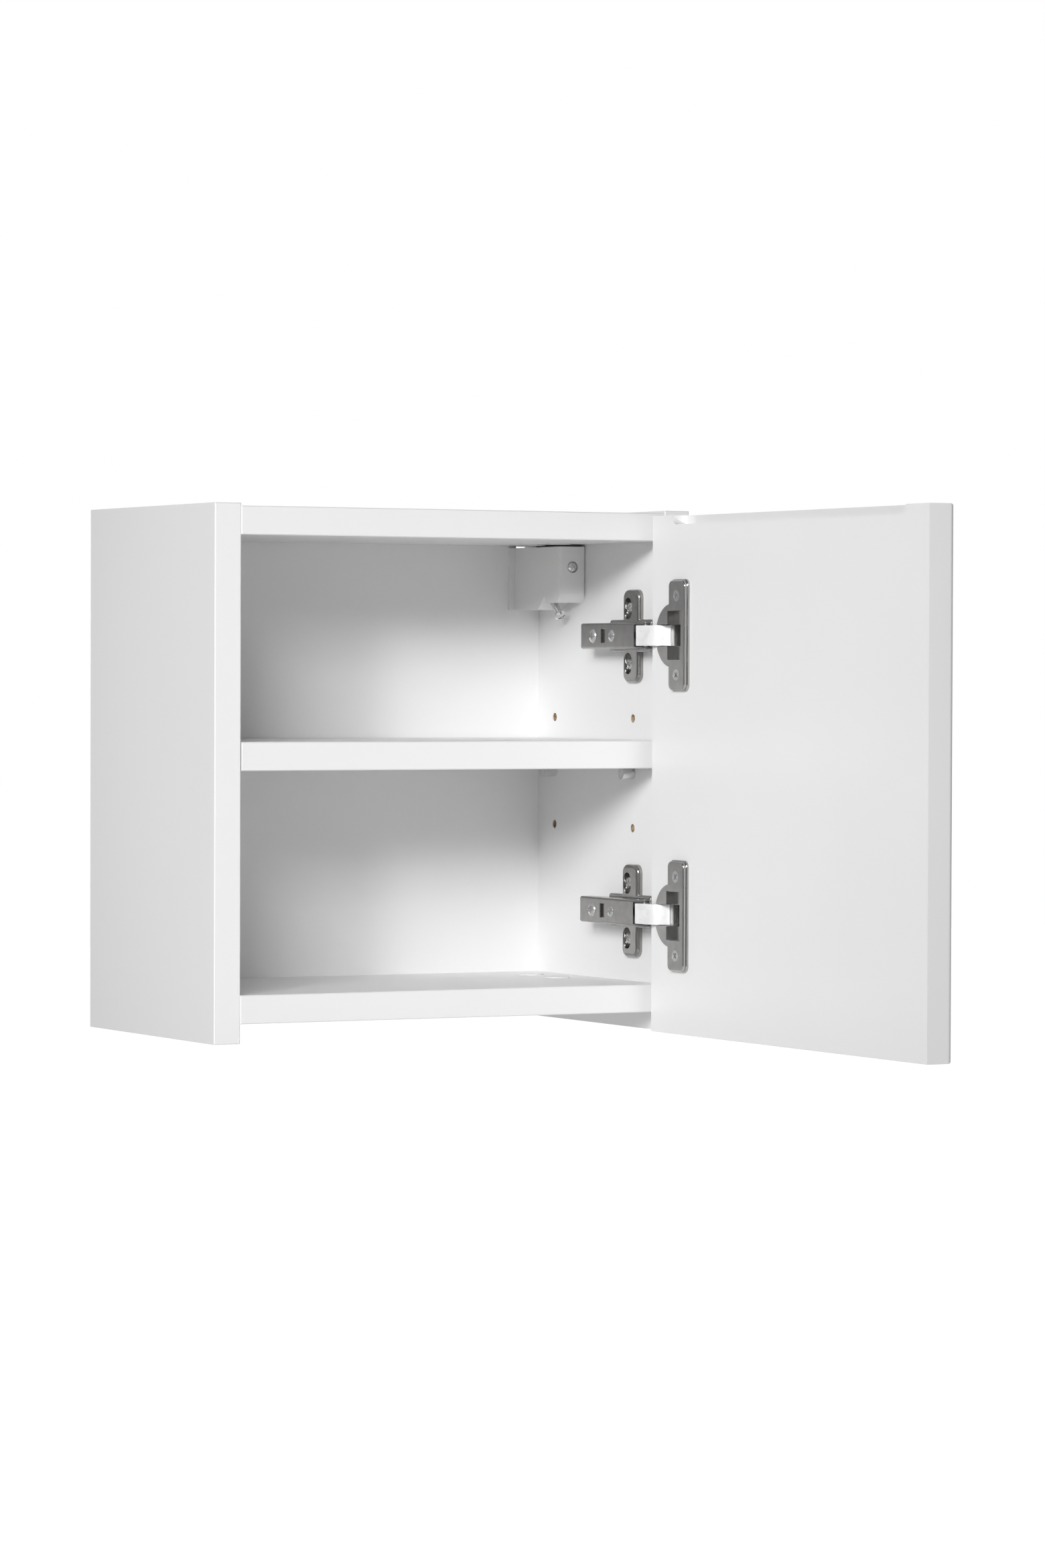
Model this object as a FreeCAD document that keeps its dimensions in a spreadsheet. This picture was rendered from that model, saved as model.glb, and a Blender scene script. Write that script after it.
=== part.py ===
import FreeCAD, Part
import os
import re
import Sketcher
from FreeCAD import Placement, Rotation, Vector

# Hanging wall cabinet with one side-hung door, shown with the door open.
# Frame: origin on the wall plane, at mid width, level with the feet of the side panels.
# +X to the right seen from the front, +Y towards the wall, +Z up. Millimetres.

doc = FreeCAD.newDocument("hanging_wall_cabinet")

# ---------------------------------------------------------------- driving sizes
SIZES = {
    # carcass
    "width": 301, "height": 300, "depth": 172, "board": 16,
    "top_drop": 1.5, "bottom_recess": 11, "arris": 0.5,
    "back_thickness": 3, "back_gap": 15.5, "groove_depth": 8, "groove_play": 0.1, "back_play": 0.5,
    # shelf and its supports
    "row_front": 37, "row_back": 39, "row_pitch": 32,
    "pin_r": 2.5, "pin_play": 0.05, "pin_hole_depth": 10, "shelf_play": 0.75, "shelf_front_gap": 1,
    "pin_reach": 8, "pin_collar_r": 3.4, "pin_collar_t": 1.2, "pin_body_r": 3.5,
    # cam fittings and dowels
    "cam_r": 7.5, "cam_depth": 12.5, "cam_inset": 24, "cam_cap": 1.2, "cap_stand": 0.6,
    "bolt_r": 3, "bolt_neck_r": 2.2, "bolt_hole_r": 3.5, "bolt_thread_r": 2.5, "bolt_thread": 11,
    "bolt_tip": 4, "fitting_back": 55, "dowel_r": 4, "dowel_in_side": 10, "dowel_in_panel": 20,
    "dowel_end_gap": 1, "dowel_front": 30, "dowel_back": 27,
    # door
    "door_reveal": 2, "door_foot": 0.5, "door_head": 3.5, "door_t": 16, "door_round": 3,
    "door_side_gap": 12.5, "door_front_gap": 8.3,
    "pull_start": 23, "pull_end": 24, "pull_depth": 5.3, "pull_lip": 6,
    "pull_round": 9, "pull_foot_round": 4.5,
    # hinges
    "hinge_low": 68, "hinge_top": 72, "cup_r": 17.5, "cup_edge": 23.5, "cup_depth": 12.5,
    "cup_wall": 0.8, "rim_over": 0.5, "rim_t": 1, "well_half": 6.2, "well_near": 7.7, "well_far": 38,
    "pocket_near": 19, "pocket_half": 14, "pocket_deep": 3, "mouth_deep": 1.6,
    "cup_screw_offset": 9.5, "cup_screw_pitch": 45, "cup_screw_r": 1.5,
    "bar_w": 20, "bar_h": 64, "bar_t": 1.6, "bar_rim": 0.8,
    "hinge_pin_r": 1.1, "link_half": 5.8, "link_sheet": 1, "inner_half": 2.4, "inner_sheet": 0.9,
    "arm_standoff": 16, "arm_sheet": 1.2, "arm_bend": 1.4, "arm_half": 7.5, "arm_front": 7.5, "arm_rear": 71,
    "arm_eye_r": 2.3, "plate_t": 3.5, "plate_half": 27, "plate_w": 19, "plate_lead": 2.7, "plate_z": 16,
    "plate_rim": 2.2, "slot_r": 4.6, "slot_play": 1.6, "slot_deep": 2,
    "rail_end": 5,
    "boss_front": 9, "boss_rear": 59, "boss_half": 9.5, "rail_half": 4, "rail_play": 0.2,
    "arm_fix_y": 57, "arm_slot_y": 44, "arm_adjust_y": 34.5, "arm_screw_r": 2,
    "arm_pin_x": 12.5, "arm_pin_y": 0.434, "inner_pin_x": 8.5, "cup_pin_edge": 9.8, "cup_pin_depth": 7,
    "spring_half": 5, "spring_t": 0.8,
    # cabinet hangers
    "hanger_w": 17.5, "hanger_length": 58.5, "hanger_drop": 34.5, "hanger_top_gap": 1.5,
    "hanger_wall": 2, "hanger_round": 1.8, "hanger_lip": 3.5, "hanger_foot": 4, "hanger_nose": 5,
    "peg_length": 9, "peg_end_gap": 0.5, "peg_front": 15, "peg_rear": 45, "peg_up": 20,
    "hook_t": 2.5, "hook_half": 6, "hook_drop": 12.5, "hanger_screw_drop": 1,
    "depth_screw_r": 2, "height_screw_r": 1.9, "carrier_t": 4, "carrier_h": 14, "carrier_l": 20,
    "hook_end": 2, "hook_lip": 10, "hook_notch_w": 14, "hook_notch_rise": 11.5,
}

sheet = doc.addObject("Spreadsheet::Sheet", "Sizes")
for row, (alias, number) in enumerate(SIZES.items(), start=1):
    sheet.set(f"A{row}", alias)
    sheet.set(f"B{row}", str(number))
    sheet.setAlias(f"B{row}", alias)
doc.recompute()


# Radius and height of each kind of screw head.
HEADS = {
    "plate": (4.1, 2.2), "cup": (3.4, 2.1), "fixing": (4.2, 2), "adjusting": (3.9, 1.5),
    "depth": (3.2, 1.2), "height": (3.6, 3),
}


class Read:
    """A size from the sheet, for the pieces whose outline is worked out below."""

    def __getattr__(self, alias):
        return float(sheet.get(alias))


v = Read()


def bound(text):
    """An expression on the sheet: each size's name gets the sheet's name in front."""
    swap = lambda m: "Sizes." + m.group() if m.group() in SIZES else m.group()
    return re.sub(r"[a-z_]+", swap, str(text))


def set_size(obj, prop, text):
    obj.setExpression(prop, bound(text))


def set_place(obj, x, y, z):
    for axis, text in zip("xyz", (x, y, z)):
        set_size(obj, f"Placement.Base.{axis}", text)


def box(name, length, width, height, x, y, z):
    """A block from its low corner: length along X, width along Y, height along Z."""
    obj = doc.addObject("Part::Box", name)
    set_size(obj, "Length", length)
    set_size(obj, "Width", width)
    set_size(obj, "Height", height)
    set_place(obj, x, y, z)
    return obj


TURNS = {
    "+X": Rotation(Vector(0, 1, 0), 90), "-X": Rotation(Vector(0, 1, 0), -90),
    "+Y": Rotation(Vector(1, 0, 0), -90), "-Y": Rotation(Vector(1, 0, 0), 90),
    "+Z": Rotation(), "-Z": Rotation(Vector(1, 0, 0), 180),
}


def rod(name, radius, height, x, y, z, way="+Z"):
    """A cylinder that starts at a point and runs along one row axis."""
    obj = doc.addObject("Part::Cylinder", name)
    set_size(obj, "Radius", radius)
    set_size(obj, "Height", height)
    obj.Placement = Placement(Vector(), TURNS[way])
    set_place(obj, x, y, z)
    return obj


def joined(name, pieces):
    if len(pieces) == 1:
        return pieces[0]
    obj = doc.addObject("Part::MultiFuse", name)
    obj.Shapes = pieces
    return obj


def cut(name, base, tools):
    obj = doc.addObject("Part::Cut", name)
    obj.Base = base
    obj.Tool = joined(name + "_tools", tools)
    return obj


def broken_edges(name, base, size_name, wanted):
    """A small chamfer on the edges of a block that the test picks by their middle."""
    doc.recompute()
    obj = doc.addObject("Part::Chamfer", name)
    obj.Base = base
    picked = [i for i, e in enumerate(base.Shape.Edges, start=1) if wanted(e)]
    leg = float(sheet.get(size_name))
    obj.Edges = [(i, leg, leg) for i in picked]
    return obj


def rounded_edges(name, base, size, wanted):
    """Rounds the edges of a block that the test picks."""
    doc.recompute()
    obj = doc.addObject("Part::Fillet", name)
    obj.Base = base
    obj.Edges = [(i, size, size) for i, e in enumerate(base.Shape.Edges, start=1) if wanted(e)]
    return obj


def group(name, pieces):
    obj = doc.addObject("Part::Compound", name)
    obj.Links = pieces
    return obj


nodes = []


def node(label, obj):
    obj.Label = label
    nodes.append(obj)
    return obj


def solid_node(label, shape):
    """A piece whose shape is made by Part's own functions."""
    obj = doc.addObject("Part::Feature", label)
    obj.Shape = shape
    return node(label, obj)


# ---------------------------------------------------------------- places used often
FRONT = "-depth"
BACK_FACE = "(-back_gap - back_thickness)"
INNER = "width / 2 - board"
TOP_UNDER = "height - top_drop - board"
BOTTOM_OVER = "bottom_recess + board"
hinge_levels = {"lower": "hinge_low", "upper": "height - hinge_top"}
SUPPORT_Z = "((hinge_low + height - hinge_top) / 2)"
rows = {"front": f"({FRONT} + row_front)", "back": "-row_back"}
fitting_rows = ("-fitting_back - row_pitch", "-fitting_back")
dowel_rows = (f"{FRONT} + dowel_front", "-dowel_back")
panel_mids = {"top": "height - top_drop - board / 2", "bottom": "bottom_recess + board / 2"}


# ---------------------------------------------------------------- side panels
def side_panel(side, sign):
    name = f"side_panel_{side}"
    outer = "-width / 2" if sign < 0 else INNER
    inner = f"{sign} * ({INNER})"
    outward = "+X" if sign > 0 else "-X"
    board = box(name + "_board", "board", "depth", "height", outer, FRONT, "0")
    board = broken_edges(name + "_arris", board, "arris", lambda e: on_front(e, v.depth))
    holes = []
    for y in rows.values():
        for step in (-1, 0, 1):
            holes.append(rod(f"{name}_hole", "pin_r", "pin_hole_depth", inner,
                             y, f"{SUPPORT_Z} + {step} * row_pitch", outward))
    if sign > 0:
        for level in hinge_levels.values():
            for way in (-1, 1):
                holes.append(rod(f"{name}_plate_hole", "pin_r", "pin_hole_depth + 2", inner,
                                 rows["front"], f"{level} + {way} * plate_z", outward))
    for peg in ("peg_front", "peg_rear"):
        holes.append(rod(f"{name}_peg_hole", "pin_r", "peg_length + peg_end_gap", inner,
                         f"{BACK_FACE} - hanger_length + {peg}",
                         f"{TOP_UNDER} - hanger_drop + peg_up", outward))
    for mid in panel_mids.values():
        for y in fitting_rows:
            holes.append(rod(f"{name}_bolt_hole", "bolt_thread_r", "bolt_thread", inner,
                             y, mid, outward))
        for y in dowel_rows:
            holes.append(rod(f"{name}_dowel_hole", "dowel_r", "dowel_in_side + dowel_end_gap", inner,
                             y, mid, outward))
    low = inner if sign > 0 else f"{inner} - groove_depth"
    holes.append(box(f"{name}_groove", "groove_depth", "back_thickness + 2 * groove_play",
                     "height", low, f"{BACK_FACE} - groove_play", "0"))
    node(name, cut(name, board, holes))


def on_front(edge, depth):
    """True for the long edges of a board's front face."""
    box_of = edge.BoundBox
    return abs(box_of.YMax + depth) < 0.01 and edge.Length > 5


side_panel("left", -1)
side_panel("right", 1)


# ---------------------------------------------------------------- top and bottom panels
def end_panel(which, low, cam_side):
    """A board between the sides, with cam and bolt bores and a groove for the back."""
    name = f"{which}_panel"
    board = box(name + "_board", f"2 * ({INNER})", "depth", "board", f"-({INNER})", FRONT, low)
    board = broken_edges(name + "_arris", board, "arris", lambda e: on_front(e, v.depth))
    mid = panel_mids[which]
    face = low if cam_side < 0 else f"{low} + board"
    into = "+Z" if cam_side < 0 else "-Z"
    holes = []
    for sign in (-1, 1):
        end = f"{sign} * ({INNER})"
        inward = "-X" if sign > 0 else "+X"
        for y in fitting_rows:
            holes.append(rod(f"{name}_cam_bore", "cam_r", "cam_depth",
                             f"{end} - {sign} * cam_inset", y, face, into))
            holes.append(rod(f"{name}_bolt_bore", "bolt_hole_r", "cam_inset", end, y, mid, inward))
        for y in dowel_rows:
            holes.append(rod(f"{name}_dowel_bore", "dowel_r", "dowel_in_panel + dowel_end_gap", end,
                             y, mid, inward))
    groove_z = f"{low} - 1" if cam_side < 0 else f"{low} + board - groove_depth"
    holes.append(box(f"{name}_groove", f"2 * ({INNER})", "back_thickness + 2 * groove_play",
                     "groove_depth + 1", f"-({INNER})",
                     f"{BACK_FACE} - groove_play", groove_z))
    node(name, cut(name, board, holes))


end_panel("top", TOP_UNDER, -1)
end_panel("bottom", "bottom_recess", 1)


# ---------------------------------------------------------------- back panel
def back_panel():
    """A thin board in the grooves, notched at its top corners for the two hooks."""
    low = f"{BOTTOM_OVER} - groove_depth + back_play"
    high = f"{TOP_UNDER} + groove_depth - 1 - back_play"
    half = f"({INNER} + groove_depth - back_play)"
    board = box("back_board", f"2 * {half}", "back_thickness", f"{high} - ({low})",
                f"-{half}", BACK_FACE, low)
    notch_low = f"{TOP_UNDER} - hook_drop - hook_notch_rise"
    notches = []
    for sign in (-1, 1):
        start = f"{sign} * ({INNER} - hanger_w / 2) - hook_notch_w / 2"
        notches.append(box("hook_notch", "hook_notch_w", "back_thickness + 2",
                           f"height - ({notch_low})", start, f"{BACK_FACE} - 1", notch_low))
    node("back_panel", cut("back_panel", board, notches))


back_panel()


# ---------------------------------------------------------------- shelf and its supports
SHELF_LOW = f"{SUPPORT_Z} + pin_body_r"


def shelf():
    half = f"({INNER} - shelf_play)"
    board = box("shelf_board", f"2 * {half}", f"depth + {BACK_FACE} - 2 * shelf_front_gap", "board",
                f"-{half}", f"{FRONT} + shelf_front_gap", SHELF_LOW)
    node("shelf", broken_edges("shelf", board, "arris",
                               lambda e: on_front(e, v.depth - v.shelf_front_gap)))


def shelf_supports():
    """Peg, collar and round body, four times over."""
    pieces = []
    for sign in (-1, 1):
        outward, inward = ("+X", "-X") if sign > 0 else ("-X", "+X")
        x = f"{sign} * ({INNER})"
        for y in rows.values():
            pieces.append(joined("support", [
                rod("support_peg", "pin_r - pin_play", "pin_hole_depth - 1", x, y,
                    SUPPORT_Z, outward),
                rod("support_collar", "pin_collar_r", "pin_collar_t", x, y, SUPPORT_Z, inward),
                rod("support_body", "pin_body_r", "pin_reach", x, y, SUPPORT_Z, inward),
            ]))
    node("shelf_supports", group("shelf_supports", pieces))


shelf()
shelf_supports()


# ---------------------------------------------------------------- screws
def cross_recess(top, radius, depth):
    """A cross-shaped driver recess, sunk from a level on the Z axis."""
    width = radius * 0.42
    arms = []
    for angle in (45, 135):
        arm = Part.makeBox(2 * radius, width, 2 * depth, Vector(-radius, -width / 2, top - depth))
        arm.rotate(Vector(), Vector(0, 0, 1), angle)
        arms.append(arm)
    return arms[0].fuse(arms[1])


def screw(seat, out, kind, shank_r, length, style="pan"):
    """A cross-recess screw: seat is the middle of the head's underside, out points away from it."""
    head_r, head_h = HEADS[kind]
    if style == "flat":
        head, top = Part.makeCone(shank_r, head_r, head_h, Vector(0, 0, -head_h)), 0
    else:
        dome_r = head_r * 1.25
        dome = Part.makeSphere(dome_r, Vector(0, 0, head_h - dome_r))
        head, top = Part.makeCylinder(head_r, head_h).common(dome), head_h
    shank = Part.makeCylinder(shank_r, length, Vector(0, 0, -length))
    shape = head.fuse(shank).removeSplitter()
    shape = shape.cut(cross_recess(top, head_r * 0.6, head_h * 0.55))
    shape.Placement = Placement(seat, Rotation(Vector(0, 0, 1), out))
    return shape


def spindle(centre, radius, half):
    """An upright pin, or the hole for one."""
    return Part.makeCylinder(radius, 2 * half, centre - Vector(0, 0, half))


# ---------------------------------------------------------------- cams, bolts and dowels
inner_face = v.width / 2 - v.board
back_face = -v.back_gap - v.back_thickness


def fittings():
    """Cam and bolt pairs with their caps, and plain dowels, at both ends of top and bottom."""
    cams, caps, bolts, dowels = [], [], [], []
    top_face = v.height - v.top_drop - v.board
    bottom_face = v.bottom_recess + v.board
    for face, into in ((top_face, 1), (bottom_face, -1)):
        mid = face + into * v.board / 2
        up = Vector(0, 0, into)
        for sign in (-1, 1):
            end, inward = sign * inner_face, Vector(-sign, 0, 0)
            for y in (-v.fitting_back - v.row_pitch, -v.fitting_back):
                at = Vector(end - sign * v.cam_inset, y, face)
                seat = at + up * v.cam_cap
                body = Part.makeCylinder(v.cam_r - 2 * v.pin_play, v.cam_depth - v.cam_cap, seat, up)
                bore = Part.makeCylinder(v.bolt_hole_r, v.cam_inset, Vector(end, y, mid), inward)
                slot = cross_recess(0, v.cam_r * 0.45, v.cam_cap)
                slot.Placement = Placement(seat, Rotation())
                cams.append(body.cut(bore).cut(slot))
                caps.append(Part.makeCylinder(v.cam_r - v.pin_play, v.cam_cap + v.cap_stand,
                                              at - up * v.cap_stand, up))
                thread = Part.makeCylinder(v.bolt_thread_r - v.pin_play, v.bolt_thread,
                                           Vector(end, y, mid), -inward)
                reach = v.cam_inset - v.bolt_tip
                neck = Part.makeCylinder(v.bolt_neck_r, reach, Vector(end, y, mid), inward)
                knob = Part.makeCylinder(v.bolt_r, v.bolt_tip, Vector(end - sign * reach, y, mid),
                                         inward)
                bolts.append(thread.fuse([neck, knob]).removeSplitter())
            for y in (-v.depth + v.dowel_front, -v.dowel_back):
                start = Vector(end + sign * v.dowel_in_side, y, mid)
                dowels.append(Part.makeCylinder(v.dowel_r - v.pin_play,
                                                v.dowel_in_side + v.dowel_in_panel, start, inward))
    solid_node("cam_locks", Part.makeCompound(cams))
    solid_node("cam_caps", Part.makeCompound(caps))
    solid_node("connecting_bolts", Part.makeCompound(bolts))
    solid_node("dowels", Part.makeCompound(dowels))


fittings()


# ---------------------------------------------------------------- door
DOOR_IN = f"({INNER} - door_side_gap)"
DOOR_EDGE = f"({FRONT} - door_front_gap)"
DOOR_W = "(width - 2 * door_reveal)"
DOOR_H = "(height - door_foot - door_head)"


def add_rectangle(sketch, size_u, size_v):
    """A rectangle from the sketch's origin, its sides driven by the sheet."""
    points = [(0, 0), (10, 0), (10, 10), (0, 10)]
    for a, b in zip(points, points[1:] + points[:1]):
        sketch.addGeometry(Part.LineSegment(Vector(*a, 0), Vector(*b, 0)), False)
    for i in range(4):
        sketch.addConstraint(Sketcher.Constraint("Coincident", i, 2, (i + 1) % 4, 1))
        sketch.addConstraint(Sketcher.Constraint("Vertical" if i % 2 else "Horizontal", i))
    for kind, line, text in (("DistanceX", 0, size_u), ("DistanceY", 1, size_v)):
        index = sketch.addConstraint(Sketcher.Constraint(kind, line, 1, line, 2, 10.0))
        sketch.setExpression(f"Constraints[{index}]", bound(text))
    sketch.addConstraint(Sketcher.Constraint("Coincident", 0, 1, -1, 1))


def finger_pull():
    """The cutter of the finger pull: round in plan at its ends, and round again at its foot."""
    far = f"{DOOR_EDGE} - {DOOR_W} + pull_end"
    size = ("door_t - pull_lip + 1", f"{DOOR_W} - pull_start - pull_end", "pull_depth + 1")
    place = (f"{DOOR_IN} - 1", far, "height - door_head - pull_depth")
    in_plan = box("pull_plan", *size, *place)
    in_face = box("pull_face", *size, *place)
    deep = v.door_t - v.pull_lip + 1
    lip_x = inner_face - v.door_side_gap - 1 + deep
    floor_z = v.height - v.door_head - v.pull_depth
    in_plan = rounded_edges("pull_plan_round", in_plan, v.pull_round,
                            lambda e: e.BoundBox.ZLength > 1 and e.CenterOfMass.x > lip_x - 0.01)
    in_face = rounded_edges("pull_face_round", in_face, v.pull_foot_round,
                            lambda e: e.BoundBox.XLength > 1 and e.CenterOfMass.z < floor_z + 0.01)
    both = doc.addObject("Part::MultiCommon", "pull_cutter")
    both.Shapes = [in_plan, in_face]
    return both


def door():
    """Slab with a rounded front and a finger pull sunk in its top edge from the back."""
    body = doc.addObject("PartDesign::Body", "door_blank")
    plane = next(f for f in body.Origin.OriginFeatures if f.Role == "YZ_Plane")
    sketch = body.newObject("Sketcher::SketchObject", "door_outline")
    sketch.AttachmentSupport = [(plane, "")]
    sketch.MapMode = "FlatFace"
    add_rectangle(sketch, DOOR_W, DOOR_H)
    pad = body.newObject("PartDesign::Pad", "door_slab")
    pad.Profile = sketch
    set_size(pad, "Length", "door_t")
    doc.recompute()
    front = [f"Edge{i}" for i, e in enumerate(pad.Shape.Edges, start=1)
             if abs(e.BoundBox.XMin - v.door_t) < 0.01]
    soft = body.newObject("PartDesign::Fillet", "door_round")
    soft.Base = (pad, front)
    set_size(soft, "Radius", "door_round")
    body.Tip = soft
    set_place(body, DOOR_IN, f"{DOOR_EDGE} - {DOOR_W}", "door_foot")

    tools = []
    for level in hinge_levels.values():
        y = f"{DOOR_EDGE} - cup_edge"
        tools.append(rod("cup_bore", "cup_r", "cup_depth + hinge_pin_r / 4", DOOR_IN, y, level, "+X"))
        for way in (-1, 1):
            tools.append(rod("cup_screw_hole", "cup_screw_r", "cup_depth", DOOR_IN,
                             f"{y} - cup_screw_offset", f"{level} + {way} * cup_screw_pitch / 2", "+X"))
    tools.append(finger_pull())
    node("door", cut("door_machined", body, tools))


door()


# ---------------------------------------------------------------- hinge pieces
def slab(points, low, high):
    """A closed outline in plan, lifted between two levels."""
    wire = Part.makePolygon([Vector(x, y, low) for x, y in points + points[:1]])
    return Part.Face(wire).extrude(Vector(0, 0, high - low))


def around(centre, offsets):
    """Points in plan, given as steps from a centre."""
    return [(centre.x + a, centre.y + b) for a, b in offsets]


def smooth_strip(points, thickness, low, high):
    """A bent strip: a curve through the points, offset to its left and lifted."""
    curve = Part.BSplineCurve()
    curve.interpolate([Vector(x, y, low) for x, y in points])
    first, last = curve.FirstParameter, curve.LastParameter
    steps = 24
    far = []
    for i in range(steps + 1):
        u = first + (last - first) * i / steps
        along = curve.tangent(u)[0]
        far.append(curve.value(u) + Vector(-along.y, along.x, 0) * thickness)
    other = Part.BSplineCurve()
    other.interpolate(far)
    ends = [Part.makeLine(far[-1], curve.value(last)), Part.makeLine(curve.value(first), far[0])]
    wire = Part.Wire(Part.__sortEdges__([curve.toShape(), ends[0], other.toShape(), ends[1]]))
    return Part.Face(wire).extrude(Vector(0, 0, high - low))


def rounded_plate(size_y, size_z, thickness, radius, x, y, z, rim=0):
    """A plate on a face of constant X, with round corners and, if asked, a round rim on its front."""
    plate = Part.makeBox(thickness, size_y, size_z, Vector(x, y - size_y / 2, z - size_z / 2))
    plate = plate.makeFillet(radius, [e for e in plate.Edges if e.BoundBox.XLength > thickness - 0.01])
    if rim:
        plate = plate.makeFillet(rim, [e for e in plate.Edges if e.BoundBox.XMax < x + 0.01])
    return plate


def pivots(z):
    """The three axes' places in plan: arm outer, arm inner, cup outer."""
    arm_outer = Vector(inner_face - v.arm_pin_x, -v.depth - v.arm_pin_y, z)
    arm_inner = Vector(inner_face - v.inner_pin_x, -v.depth, z)
    cup_outer = Vector(inner_face - v.door_side_gap + v.cup_pin_depth,
                       -v.depth - v.door_front_gap - v.cup_pin_edge, z)
    return arm_outer, arm_inner, cup_outer


def mounting_plate(level, z):
    """Cross-shaped plate: two wings screwed to the side and a rail that takes the arm."""
    screw_y = v.row_front - v.depth
    inward = Vector(-1, 0, 0)
    left = inner_face - v.plate_t
    wings = rounded_plate(v.plate_w, 2 * v.plate_half, v.plate_t, 5, left, screw_y - v.plate_lead, z,
                          v.plate_rim)
    boss_y = (v.boss_front + v.boss_rear) / 2 - v.depth
    boss = rounded_plate(v.boss_rear - v.boss_front, 2 * v.boss_half, v.plate_t, 2, left, boss_y, z,
                         v.bar_rim)
    rail_x = inner_face - v.arm_standoff + v.arm_sheet + v.rail_play
    rail = Part.makeBox(left - rail_x + 1, v.arm_fix_y - v.arm_adjust_y + 2 * v.rail_end,
                        2 * v.rail_half,
                        Vector(rail_x, v.arm_adjust_y - v.rail_end - v.depth, z - v.rail_half))
    shape = wings.fuse([boss, rail]).removeSplitter()
    for way in (-1, 1):
        at = Vector(left, screw_y, z + way * v.plate_z)
        for radius, deep in ((v.slot_r, v.slot_deep), (v.pin_r + v.pin_play, v.plate_t)):
            ends = [Part.makeCylinder(radius, deep, at + Vector(0, 0, step), -inward)
                    for step in (-v.slot_play, v.slot_play)]
            middle = Part.makeBox(deep, 2 * radius, 2 * v.slot_play,
                                  at - Vector(0, radius, v.slot_play))
            shape = shape.cut(ends + [middle])
    for along in (v.arm_fix_y, v.arm_adjust_y):
        at = Vector(rail_x, along - v.depth, z)
        shape = shape.cut(Part.makeCylinder(v.arm_screw_r + v.pin_play, 8, at, -inward))
    solid_node(f"{level}_mounting_plate", shape)

    seat_x = left + v.slot_deep
    pieces = [screw(Vector(seat_x, screw_y, z + way * v.plate_z), inward, "plate",
                    v.pin_r - v.pin_play, v.pin_hole_depth + v.plate_t - v.slot_deep)
              for way in (-1, 1)]
    solid_node(f"{level}_plate_screws", Part.makeCompound(pieces))


def hinge_arm(level, z):
    """Channel with its back to the room; its cheeks run forward to carry the two pins."""
    outer_pin, inner_pin, _ = pivots(z)
    back = inner_face - v.arm_standoff
    front, rear = v.arm_front - v.depth, v.arm_rear - v.depth
    web = Part.makeBox(v.arm_sheet, rear - front, 2 * v.arm_half, Vector(back, front, z - v.arm_half))
    parts = [web]
    eye = v.arm_eye_r
    outline = [(back, rear), (back + 8, rear), (back + 11, front + 4), (inner_pin.x + eye, inner_pin.y),
               (outer_pin.x - eye, outer_pin.y), (back, front)]
    for low in (z - v.arm_half, z + v.arm_half - v.arm_sheet):
        parts.append(slab(outline, low, low + v.arm_sheet))
        parts += [Part.makeCylinder(eye, v.arm_sheet, Vector(at.x, at.y, low))
                  for at in (outer_pin, inner_pin)]
    shape = parts[0].fuse(parts[1:]).removeSplitter()
    reach = 10
    envelope = Part.makeBox(v.arm_standoff, rear - front + 2 * reach, 2 * v.arm_half,
                            Vector(back, front - reach, z - v.arm_half))
    bends = [e for e in envelope.Edges if e.BoundBox.YLength > reach and e.BoundBox.XMax < back + 0.01]
    shape = shape.common(envelope.makeFillet(v.arm_bend, bends))
    tools = [spindle(at, v.hinge_pin_r + v.pin_play, v.arm_half + 1) for at in (outer_pin, inner_pin)]
    for along in (v.arm_fix_y, v.arm_adjust_y):
        tools.append(Part.makeCylinder(v.arm_screw_r + v.pin_play, 4,
                                       Vector(back - 1, along - v.depth, z), Vector(1, 0, 0)))
    slot_w, slot_h = 6.3, 8.2
    tools.append(Part.makeBox(4, slot_w, slot_h, Vector(back - 1, v.arm_slot_y - v.depth - slot_w / 2,
                                                        z - slot_h / 2)))
    solid_node(f"{level}_hinge_arm", shape.cut(tools))

    pins = [spindle(at, v.hinge_pin_r, v.arm_half + 0.3) for at in (outer_pin, inner_pin)]
    solid_node(f"{level}_arm_pins", Part.makeCompound(pins))
    for name, along in (("fixing", v.arm_fix_y), ("adjusting", v.arm_adjust_y)):
        seat = Vector(back, along - v.depth, z)
        solid_node(f"{level}_{name}_screw", screw(seat, Vector(-1, 0, 0), name, v.arm_screw_r, 9))


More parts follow.
